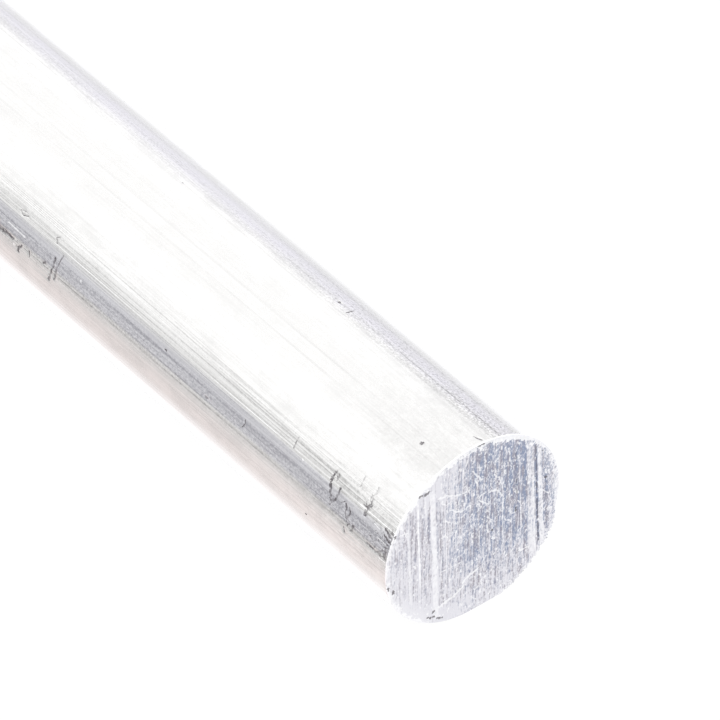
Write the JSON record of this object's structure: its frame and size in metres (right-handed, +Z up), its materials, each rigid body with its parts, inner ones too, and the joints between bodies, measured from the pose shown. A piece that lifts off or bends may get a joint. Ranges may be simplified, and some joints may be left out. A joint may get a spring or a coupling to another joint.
{
  "type": "round metal bar",
  "caption": "Straight solid round bar of mill-finish aluminium, sawn square at both ends: raw stock to turn, drill, tap, clamp or use as a plain rod.",
  "frame": {"origin": "on the floor under the middle of the bar's length, straight below its centre line", "axes": "+X along the bar towards the end that is seen in the main view, +Z up, +Y across the bar"},
  "size_m": [0.3, 0.025, 0.025],
  "materials": {
    "mill_finish_aluminium": "bare mill finish with lengthwise die lines and light handling scratches, ends left as sawn"
  },
  "bodies": {
    "root": {"round_bar": "mill_finish_aluminium"}
  },
  "joints": []
}
